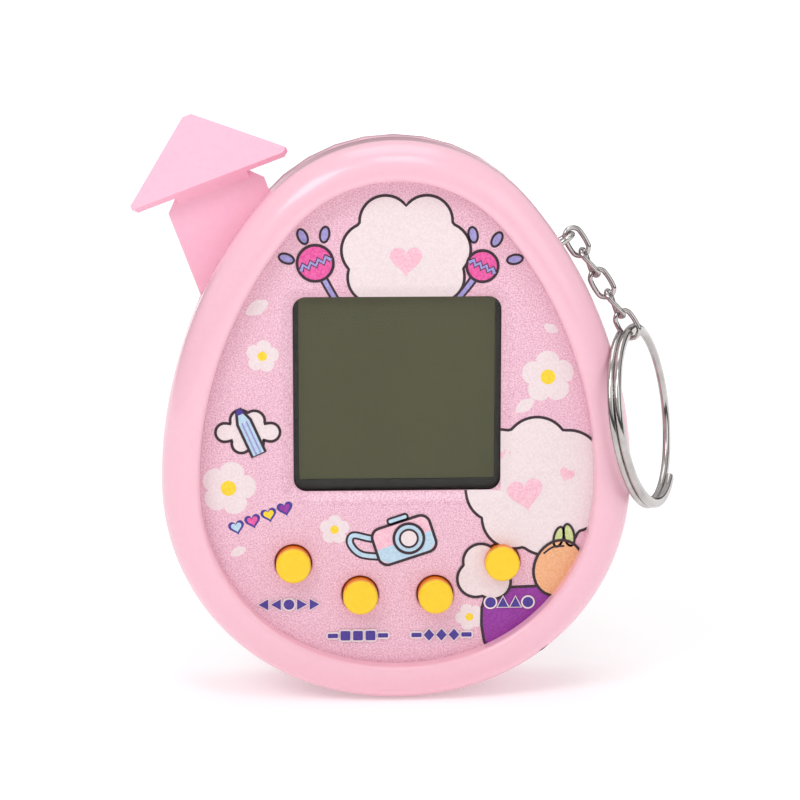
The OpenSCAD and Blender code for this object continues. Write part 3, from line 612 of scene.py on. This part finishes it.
def build_front_shell():
    """The rounded rim, and the front wall behind the film."""
    bm = bmesh.new()
    bevel = 0.12
    profile = [(WALL_T, PARTING_H + FIT_GAP), (bevel, PARTING_H + FIT_GAP)]
    profile.append((0, PARTING_H + FIT_GAP + bevel))
    profile += [(RIM_R - x, h) for x, h in rounded(0, CREST_H - RIM_R, RIM_R, 0, 90, 16)]
    lip = rounded(0, CREST_H - RIM_LIP_R, RIM_LIP_R, 90, 0, 6)[1:]
    profile += [(RIM_R + x, h) for x, h in lip]
    edge = RIM_R + RIM_LIP_R
    profile += [(edge + 0.04, PANEL_H + 0.03), (edge - 0.06, PANEL_H + 0.02)]
    profile += [(edge - 0.06, PANEL_H - 1.5), (WALL_T + 0.8, PANEL_H - 1.6)]
    profile.append((WALL_T, PANEL_H - 2.4))
    sweep(bm, egg_outline, profile)
    loops = [egg_outline(edge - 0.3)]
    loops.append(rect_outline(WINDOW_W + 0.2, WINDOW_H + 0.2, WINDOW_R, WINDOW_V))
    loops += [ellipse(x, v, HOLE_R, HOLE_R) for x, v, _ in BUTTONS.values()]
    plate(bm, loops, PANEL_H - 1.55, PANEL_H - 1.0)
    for x, v, _ in BUTTONS.values():
        plate(bm, [ellipse(x, v, HOLE_R + 0.4, HOLE_R + 0.4), ellipse(x, v, HOLE_R, HOLE_R)],
              PANEL_H - 1.0, PANEL_H - 0.24)
    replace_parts(stand("shell_front", bm, PINK), "front_shell")


def slope_at(t):
    """Height of the film on the slope, from the window (0) to the level part (1)."""
    return PANEL_H - SLOPE_D * (1 - t) ** SLOPE_POWER


def slope_h(x, v):
    """Height of the film: level outside, rolling down over the slope to the window."""
    qx = abs(x) - (WINDOW_W / 2 - WINDOW_R)
    qv = abs(v - WINDOW_V) - (WINDOW_H / 2 - WINDOW_R)
    away = math.hypot(max(qx, 0), max(qv, 0)) + min(max(qx, qv), 0) - WINDOW_R
    return slope_at(min(max(away / SLOPE_W, 0), 1))


def build_film():
    """The glitter film, with holes for the buttons and a slope down to the window."""
    bm = bmesh.new()
    edge = RIM_R + RIM_LIP_R - 0.02
    outer = rect_outline(WINDOW_W + 2 * SLOPE_W, WINDOW_H + 2 * SLOPE_W,
                         WINDOW_R + SLOPE_W, WINDOW_V)
    loops = [egg_outline(edge), outer]
    loops += [ellipse(x, v, HOLE_R + 0.1, HOLE_R + 0.1, 0, 64) for x, v, _ in BUTTONS.values()]
    plate(bm, loops, PANEL_H - FILM_T, PANEL_H)

    def window_loop(inset):
        return rect_outline(WINDOW_W - 2 * inset, WINDOW_H - 2 * inset,
                            WINDOW_R - inset, WINDOW_V)

    steps = 10
    profile = [(-SLOPE_W * (i / steps), slope_at(i / steps)) for i in range(steps + 1)]
    profile += [(-SLOPE_W, PANEL_H - FILM_T), (-SLOPE_W * 0.5, PANEL_H - SLOPE_D - 0.1)]
    profile.append((0, PANEL_H - SLOPE_D - 0.12))
    sweep(bm, window_loop, profile)
    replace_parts(stand("printed_film", bm, FILM, smooth=50), "face_panel")


# ---------------------------------------------------------------- printed pictures

INK_STEP = 0.018
LINE_W = 0.3


def cut_at_window(bm):
    """Cuts a flat picture where the film bends, and removes what lies over the window."""
    steps = 5
    half_w, half_h = WINDOW_W / 2, WINDOW_H / 2
    for i in range(steps + 1):
        grow = SLOPE_W * i / steps
        for sign in (-1, 1):
            for place, normal in (
                    ((sign * (half_w + grow), 0, 0), (1, 0, 0)),
                    ((0, WINDOW_V + sign * (half_h + grow), 0), (0, 1, 0))):
                bmesh.ops.bisect_plane(bm, geom=bm.verts[:] + bm.edges[:] + bm.faces[:],
                                       plane_co=place, plane_no=normal, dist=1e-5)
    inside = [f for f in bm.faces
              if abs(f.calc_center_median().x) < half_w
              and abs(f.calc_center_median().y - WINDOW_V) < half_h]
    bmesh.ops.delete(bm, geom=inside, context="FACES")


class Print:
    """Flat printed shapes of one ink, collected into one thin piece."""

    inks = {}

    def __init__(self, name, mat):
        self.name, self.mat = name, mat
        self.bm = bmesh.new()
        Print.inks[name] = self

    def lay(self, part, layer):
        cut_at_window(part)
        for vert in part.verts:
            vert.co.z = slope_h(vert.co.x, vert.co.y) + INK_STEP * layer
        scratch = bpy.data.meshes.new("scratch")
        part.to_mesh(scratch)
        part.free()
        self.bm.from_mesh(scratch)
        bpy.data.meshes.remove(scratch)

    def fill(self, points, layer=1):
        part = bmesh.new()
        edges = add_loop(part, points, 0)
        bmesh.ops.triangle_fill(part, edges=edges, use_beauty=True, use_dissolve=False)
        self.lay(part, layer)

    def line(self, points, width=LINE_W, layer=3, closed=True):
        part = bmesh.new()
        count = len(points)
        sides = []
        for i, (x, v) in enumerate(points):
            before = points[i - 1] if i > 0 or closed else points[i]
            after = points[(i + 1) % count] if i < count - 1 or closed else points[i]
            dx, dv = after[0] - before[0], after[1] - before[1]
            length = math.hypot(dx, dv) or 1
            nx, nv = -dv / length * width / 2, dx / length * width / 2
            sides.append((part.verts.new((x + nx, v + nv, 0)),
                          part.verts.new((x - nx, v - nv, 0))))
        pairs = list(zip(sides, sides[1:]))
        if closed:
            pairs.append((sides[-1], sides[0]))
        for a, b in pairs:
            part.faces.new((a[0], a[1], b[1], b[0]))
        self.lay(part, layer)

    def finish(self):
        grown = bmesh.ops.extrude_face_region(self.bm, geom=self.bm.faces[:],
                                              use_keep_orig=True)
        verts = [g for g in grown["geom"] if isinstance(g, bmesh.types.BMVert)]
        bmesh.ops.translate(self.bm, vec=(0, 0, -INK_STEP * 0.9), verts=verts)
        stand(self.name, self.bm, self.mat)


def outlined(print_, points, layer=1, width=LINE_W):
    print_.fill(points, layer)
    Print.inks["print_black"].line(points, width, layer + 1)


def daisy(x, v, r, turn=0.0):
    """A five-petalled white flower with a yellow middle."""
    points = []
    for i in range(100):
        a = 2 * math.pi * i / 100
        reach = r * (0.72 + 0.28 * abs(math.cos(2.5 * a)) ** 0.6)
        points.append((reach * math.cos(a), reach * math.sin(a)))
    Print.inks["print_white"].fill(moved(points, x, v, 1, turn), 1)
    Print.inks["print_gold"].fill(ellipse(x, v, r * 0.28, r * 0.28), 2)


def petal(x, v, length, width, turn):
    shape = smooth_loop([(-length / 2, 0), (0, width / 2), (length / 2, width * 0.2),
                         (length / 2, -width * 0.2), (0, -width / 2)])
    Print.inks["print_white"].fill(moved(shape, x, v, 1, turn), 1)


def heart(r):
    points = []
    for i in range(40):
        a = 2 * math.pi * i / 40
        x = 16 * math.sin(a) ** 3
        v = 13 * math.cos(a) - 5 * math.cos(2 * a) - 2 * math.cos(3 * a) - math.cos(4 * a)
        points.append((x * r / 16, v * r / 16))
    return points


def lollipop(x, v, r, lean, stick):
    """A round sweet with a zigzag stripe, on a stick that runs down to the window."""
    c, s = math.sin(math.radians(lean)), -math.cos(math.radians(lean))
    end = (x + c * stick, v + s * stick)
    Print.inks["print_black"].line([(x, v), end], 0.95, 1, closed=False)
    Print.inks["print_lilac"].line([(x, v), end], 0.45, 2, closed=False)
    outlined(Print.inks["print_hot_pink"], ellipse(x, v, r, r), 3)
    zigzag = []
    steps = 8
    for i in range(steps + 1):
        t = -0.88 + 1.76 * i / steps
        zigzag.append((t * r, (0.14 if i % 2 else -0.14) * r))
    turned = moved(zigzag, x, v, 1, 20 if lean > 0 else -24)
    Print.inks["print_black"].line(turned, 0.62, 5, closed=False)
    Print.inks["print_lilac"].line(turned, 0.36, 6, closed=False)


def sparks(places):
    for x, v, turn in places:
        outlined(Print.inks["print_lilac"], ellipse(x, v, 0.82, 0.48, turn), 1, 0.24)


def cloud(x, v, bumps, layer=1):
    """A white cloud round (x, v): bumps are (angle, reach, size of the bump)."""
    points = []
    for i in range(120):
        a = math.radians(3 * i)
        far = min(bump[1] for bump in bumps)
        for angle, reach, size in bumps:
            off = math.radians(angle) - a
            along, aside = reach * math.cos(off), reach * math.sin(off)
            if size > abs(aside):
                far = max(far, along + math.sqrt(size ** 2 - aside ** 2))
        points.append((x + far * math.cos(a), v + far * math.sin(a)))
    outlined(Print.inks["print_white"], points, layer)


GLYPHS = {
    "left": [(-0.5, 0), (0.42, 0.53), (0.42, -0.53)],
    "right": [(0.5, 0), (-0.42, 0.53), (-0.42, -0.53)],
    "up": [(0, 0.53), (-0.5, -0.45), (0.5, -0.45)],
    "dot": ellipse(0, 0, 0.5, 0.5, 0, 20),
    "box": rect_outline(0.92, 0.92, 0.12, 0, 3),
    "gem": [(0, 0.58), (-0.5, 0), (0, -0.58), (0.5, 0)],
    "dash": rect_outline(0.96, 0.42, 0.1, 0, 3),
}


def glyph_row(x, v, names):
    """A button's label: bold little symbols, navy on a white edge."""
    step = 1.34
    for i, name in enumerate(names):
        shape = moved(GLYPHS[name], x + (i - (len(names) - 1) / 2) * step, v, 1.14)
        Print.inks["print_white"].line(shape, 0.34, 8)
        Print.inks["print_navy"].fill(shape, 9)


def build_prints():
    for name, mat in (("white", WHITE_INK), ("black", BLACK_INK), ("rose", ROSE_INK),
                      ("hot_pink", HOT_PINK_INK), ("lilac", LILAC_INK),
                      ("purple", PURPLE_INK), ("navy", NAVY_INK), ("blue", BLUE_INK),
                      ("gold", GOLD_INK), ("orange", ORANGE_INK), ("green", GREEN_INK)):
        Print("print_" + name, mat)
    inks = Print.inks

    # A cloud with a heart above the window, between two sweets.
    cloud(0.9, 17.6, [(-30, 3.6, 3.0), (15, 4.0, 2.9), (62, 4.6, 2.7), (118, 4.6, 2.7),
                      (165, 4.0, 2.9), (210, 3.6, 3.0), (270, 3.6, 3.4)])
    inks["print_rose"].fill(moved(heart(1.7), 0.9, 17.6), 3)
    lollipop(-8.6, 17.3, 1.9, 28, 4.9)
    lollipop(8.9, 16.9, 1.65, -35, 4.6)
    sparks([(-11.6, 17.8, -20), (-9.9, 20.1, 115), (-7.6, 20.3, 80),
            (7.9, 20.2, 100), (10.4, 19.7, 60), (12.3, 17.6, 10)])

    # Petals and daisies scattered over the film.
    petal(-14.8, 12.6, 2.5, 1.5, 30)
    petal(13.4, 2.0, 2.2, 1.3, 35)
    petal(16.1, 10.3, 1.5, 1.0, -25)
    petal(-17.0, -13.5, 1.7, 1.0, 25)
    daisy(-14.2, 7.5, 1.75, 10)
    daisy(15.9, 5.1, 2.8, 20)
    daisy(-17.9, -6.6, 2.9, 5)
    daisy(-6.7, -11.2, 1.6, 15)
    daisy(7.7, -20.9, 1.5, 40)

    # A crayon over a little cloud, on the left.
    cloud(-15.8, -0.6, [(-60, 1.3, 1.0), (0, 2.4, 1.0), (60, 1.4, 1.1), (120, 1.5, 1.1),
                        (180, 2.4, 1.0), (240, 1.4, 1.0)])
    crayon = [(-0.75, -2.6), (0.75, -2.6), (0.75, 1.2), (0.22, 2.7), (-0.22, 2.7),
              (-0.75, 1.2)]
    outlined(inks["print_blue"], moved(crayon, -15.7, -0.6, 1, 24), 4)
    tip = [(-0.4, 2.1), (0.4, 2.1), (0.22, 2.7), (-0.22, 2.7)]
    inks["print_navy"].fill(moved(tip, -15.7, -0.6, 1, 24), 6)
    for place in (-0.25, 0.25):
        stripe = moved([(place, -2.5), (place, 1.2)], -15.7, -0.6, 1, 24)
        inks["print_lilac"].line(stripe, 0.18, 6, closed=False)

    # A row of small hearts, rising to the right.
    for i, name in enumerate(("blue", "hot_pink", "gold", "purple")):
        place = (-17.1 + 1.72 * i, -10.8 + 0.66 * i)
        inks["print_navy"].fill(moved(heart(0.86), *place, 1, 14), 1)
        inks["print_" + name].fill(moved(heart(0.56), *place, 1, 14), 2)

    # A toy camera with its strap, under the window.
    strap = smooth_loop([(-2.6, -1.0), (-4.6, -0.2), (-5.4, 1.2), (-4.9, 2.0), (-3.4, 1.3),
                         (-2.4, 0.9)], closed=False)
    inks["print_black"].line(moved(strap, 0.5, -12.6, 1, 14), 0.9, 1, closed=False)
    inks["print_blue"].line(moved(strap, 0.5, -12.6, 1, 14), 0.44, 2, closed=False)
    outlined(inks["print_rose"], moved(rect_outline(6.4, 4.1, 1.0), 0.7, -12.4, 1, 18), 3)
    lower = [(-3.05, -1.3), (-2.3, -1.9), (2.3, -1.9), (3.05, -1.3), (3.05, 0.1), (-3.05, -0.2)]
    inks["print_blue"].fill(moved(lower, 0.7, -12.4, 1, 18), 4)
    outlined(inks["print_blue"], ellipse(1.2, -12.2, 1.6, 1.6), 6)
    outlined(inks["print_white"], ellipse(1.2, -12.2, 0.95, 0.95), 8, 0.22)
    outlined(inks["print_blue"], moved(rect_outline(2.2, 0.6, 0.25), 0.0, -10.1, 1, 18), 3, 0.22)

    # A big cloud with hearts, a basket and an orange fruit, at the lower right.
    cloud(14.6, -7.2, [(-70, 3.6, 3.6), (-10, 4.0, 3.8), (40, 4.6, 3.6), (88, 4.6, 3.4),
                       (135, 4.6, 3.3), (180, 4.0, 3.3), (232, 3.6, 3.4)])
    inks["print_rose"].fill(moved(heart(1.9), 13.6, -7.4, 1, 10), 3)
    inks["print_rose"].fill(moved(heart(0.8), 18.0, -5.4, 1, -20), 3)
    inks["print_rose"].fill(moved(heart(0.7), 11.4, -3.4, 1, 25), 3)
    basket = smooth_loop([(9.4, -18.6), (9.9, -24.8), (15.5, -24.5), (19.5, -18.0),
                          (14.5, -17.6)], 4)
    outlined(inks["print_purple"], basket, 1)
    cloud(9.6, -16.0, [(-60, 1.2, 1.9), (30, 1.2, 1.9), (120, 1.4, 1.9), (210, 1.4, 2.0)], 4)
    outlined(inks["print_green"], ellipse(18.3, -12.0, 0.55, 1.2, 12), 4, 0.26)
    outlined(inks["print_green"], ellipse(17.2, -12.2, 0.5, 1.1, -14), 4, 0.26)
    outlined(inks["print_orange"], ellipse(17.2, -15.6, 2.6, 3.1, -20), 5)
    inks["print_black"].line(smooth_loop([(15.6, -14.0), (16.6, -13.3), (17.8, -13.2)], 5,
                                         closed=False), 0.2, 7, closed=False)

    # Labels under the buttons.
    for name, shift, names in (
            ("select", -0.5, ("left", "left", "dot", "right", "right")),
            ("decide", -0.25, ("dash", "box", "box", "box", "dash")),
            ("cancel", 0.7, ("dash", "gem", "gem", "gem", "dash")),
            ("reset", 0.85, ("dot", "up", "up", "dot"))):
        x, v, _ = BUTTONS[name]
        glyph_row(x + shift, v - 4.5, names)
    for print_ in inks.values():
        print_.finish()


# ---------------------------------------------------------------- buttons

def build_buttons():
    """Round-edged caps, each with the flange that keeps it in."""
    for name, (x, v, _) in BUTTONS.items():
        bm = bmesh.new()
        flange_lo = lying_box(name + "_button")[0][2]
        profile = [(0, BUTTON_TOP_H - 0.04), (0.9, BUTTON_TOP_H - 0.035)]
        profile += rounded(CAP_R - CAP_EDGE_R, BUTTON_TOP_H - 0.03 - CAP_EDGE_R, CAP_EDGE_R, 90, 0)
        profile += [(CAP_R, flange_lo + FLANGE_T), (FLANGE_R, flange_lo + FLANGE_T)]
        profile += [(FLANGE_R, flange_lo + FIT_GAP), (0, flange_lo + FIT_GAP)]
        lathe(bm, x, v, profile)
        piece = stand(name + "_cap", bm, YELLOW_PAINTED_SIDE_SHADE, name + "_key", 60)
        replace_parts(piece, name + "_button")


PLUNGER_H = 0.58


def build_keypad():
    """Rubber strips on the board, and a dome under each button."""
    base, top = lying_box("keypad")[0][2], lying_box("keypad")[1][2]
    plunger = top - PLUNGER_H
    places = [BUTTONS[name] for name in BUTTON_NAMES]
    strips = bmesh.new()
    for (ax, av, _), (bx, bv, _) in zip(places, places[1:]):
        away = Vector((bx - ax, bv - av)).normalized()
        side = Vector((-away.y, away.x)) * 2
        a, b = Vector((ax, av)) + away * 3, Vector((bx, bv)) - away * 3
        plate(strips, [[a + side, b + side, b - side, a - side]], base, base + 0.5)
    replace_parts(stand("keypad_strips", strips, SILICONE), "keypad")
    for name in BUTTON_NAMES:
        x, v, _ = BUTTONS[name]
        dome = bmesh.new()
        lathe(dome, x, v, [
            (0, plunger), (1.3, plunger), (1.3, plunger + 0.15), (2.35, base + 0.3),
            (2.35, base), (3.2, base), (3.2, base + 0.5), (2.7, base + 0.5),
            (1.6, plunger + 0.35), (1.6, top), (0, top)], 40)
        piece = stand("keypad_dome_" + name, dome, SILICONE)
        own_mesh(piece)


# ---------------------------------------------------------------- chain and ring

WIRE_R = 0.3
LINK_COUNT = 5
LINK_LEN = 3.84
LINK_W = 2.5
LINK_TWIST = 45
RING_OD = 20.0
RING_WIRE_W = 1.14
RING_WIRE_T = 0.74
RING_HANG = 11
RING_TURN = 23


def circle_section(r, steps=12):
    return [(r * math.cos(2 * math.pi * i / steps), r * math.sin(2 * math.pi * i / steps))
            for i in range(steps)]


def path_frames(path, closed):
    """Cross directions along a path, carried along without twist."""
    count = len(path)
    frames = []
    last = None
    for i in range(count):
        before = path[i - 1] if i or closed else path[i]
        after = path[(i + 1) % count] if i < count - 1 or closed else path[i]
        ahead = (after - before).normalized()
        if last is None:
            last = ahead.orthogonal().normalized()
        last = (last - ahead * last.dot(ahead)).normalized()
        frames.append((last, ahead.cross(last)))
    return frames


def link_path(length, width, twist, steps=72):
    """An oval twisted about its long axis, as curb links are."""
    bend = width / 2
    straight = length - 2 * bend
    points = []
    for i in range(steps):
        a = 2 * math.pi * i / steps
        x = bend * math.cos(a) + math.copysign(straight / 2, math.cos(a)) * min(
            1, abs(math.cos(a)) * 3)
        y = bend * math.sin(a)
        t = math.radians(twist) * x / length
        points.append(Vector((x, y * math.cos(t), y * math.sin(t))))
    return points


def build_chain():
    """Twisted links in place of the plain ovals, each along its CAD link's line."""
    centres = [Vector(middle("chain_link_%d" % i)) for i in range(1, LINK_COUNT + 1)]
    along = (centres[-1] - centres[0]).normalized()
    across = Vector((0, 0, 1)).cross(along).normalized()
    out = Vector((0, 0, 1))
    length = LINK_LEN - 2 * WIRE_R
    width = LINK_W - 2 * WIRE_R
    for i, centre in enumerate(centres):
        bm = bmesh.new()
        flat = i % 2 == 0
        side, up = (across, out) if flat else (out, -across)
        path = [centre + along * p.x + side * p.y + up * p.z
                for p in link_path(length, width, LINK_TWIST if flat else -LINK_TWIST)]
        tube(bm, path, path_frames(path, True), circle_section(WIRE_R * 0.92), True)
        name = "link_%d" % (i + 1)
        piece = stand("curb_" + name, bm, CHROME, name, 80)
        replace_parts(piece, "chain_link_%d" % (i + 1))


def joint_place(name):
    """A hinge's place, lying, in millimetres."""
    for joint in frame["joints"]:
        if joint["name"] == name:
            x, y, z = joint["pos_m"]
            return Vector((x / MM, z / MM, -y / MM))


def build_ring():
    """A split ring: flattened wire wound about one and a half turns, side by side."""
    hang, turn = math.radians(RING_HANG), math.radians(RING_TURN)
    hinge = joint_place("ring_swing")
    along = (hinge - joint_place("link_1_swing")).normalized()
    top = hinge - along * (WIRE_R + RING_WIRE_W / 2 + FIT_GAP)
    axis_up = Vector((-math.sin(hang), math.cos(hang), 0))
    flat = Vector((math.cos(hang), math.sin(hang), 0))
    normal = flat * math.cos(turn) + Vector((0, 0, 1)) * math.sin(turn)
    front = normal.cross(axis_up)
    radius = (RING_OD - RING_WIRE_W) / 2
    centre = top - axis_up * radius
    steps = 280
    first, doubled, whole = 10, 200, 560
    path, frames = [], []
    for i in range(steps + 1):
        degrees = first + whole * i / steps
        a = math.radians(degrees)
        out = axis_up * math.cos(a) + front * math.sin(a)
        crossed = min(max((degrees - first - doubled) / (360 - doubled), 0), 1)
        path.append(centre + out * radius - normal * RING_WIRE_T * (1 - smooth_step(crossed)))
        frames.append((out, normal))
    section = []
    for a in range(0, 360, 20):
        c, s = math.cos(math.radians(a)), math.sin(math.radians(a))
        flat_part = (RING_WIRE_W - RING_WIRE_T) / 2
        section.append((c * RING_WIRE_T / 2 + math.copysign(flat_part, c), s * RING_WIRE_T / 2))
    bm = bmesh.new()
    tube(bm, path, frames, section, False)
    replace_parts(stand("split_ring_coil", bm, CHROME, "ring", 40), "split_ring")


def smooth_step(t):
    return t * t * (3 - 2 * t)


# ---------------------------------------------------------------- everything

bpy.context.scene.view_settings.view_transform = "Standard"
set_camera()
set_light()
set_floor()
paint_nodes()
build_front_shell()
smooth_copy("rear_shell", "shell_rear")
build_film()
build_prints()
build_buttons()
build_keypad()
build_chain()
build_ring()
for soft_name, soft_width in (("pull_tab", 0.12), ("battery_cover", 0.15),
                              ("lcd_frame", 0.08)):
    soften(soft_name, soft_width)
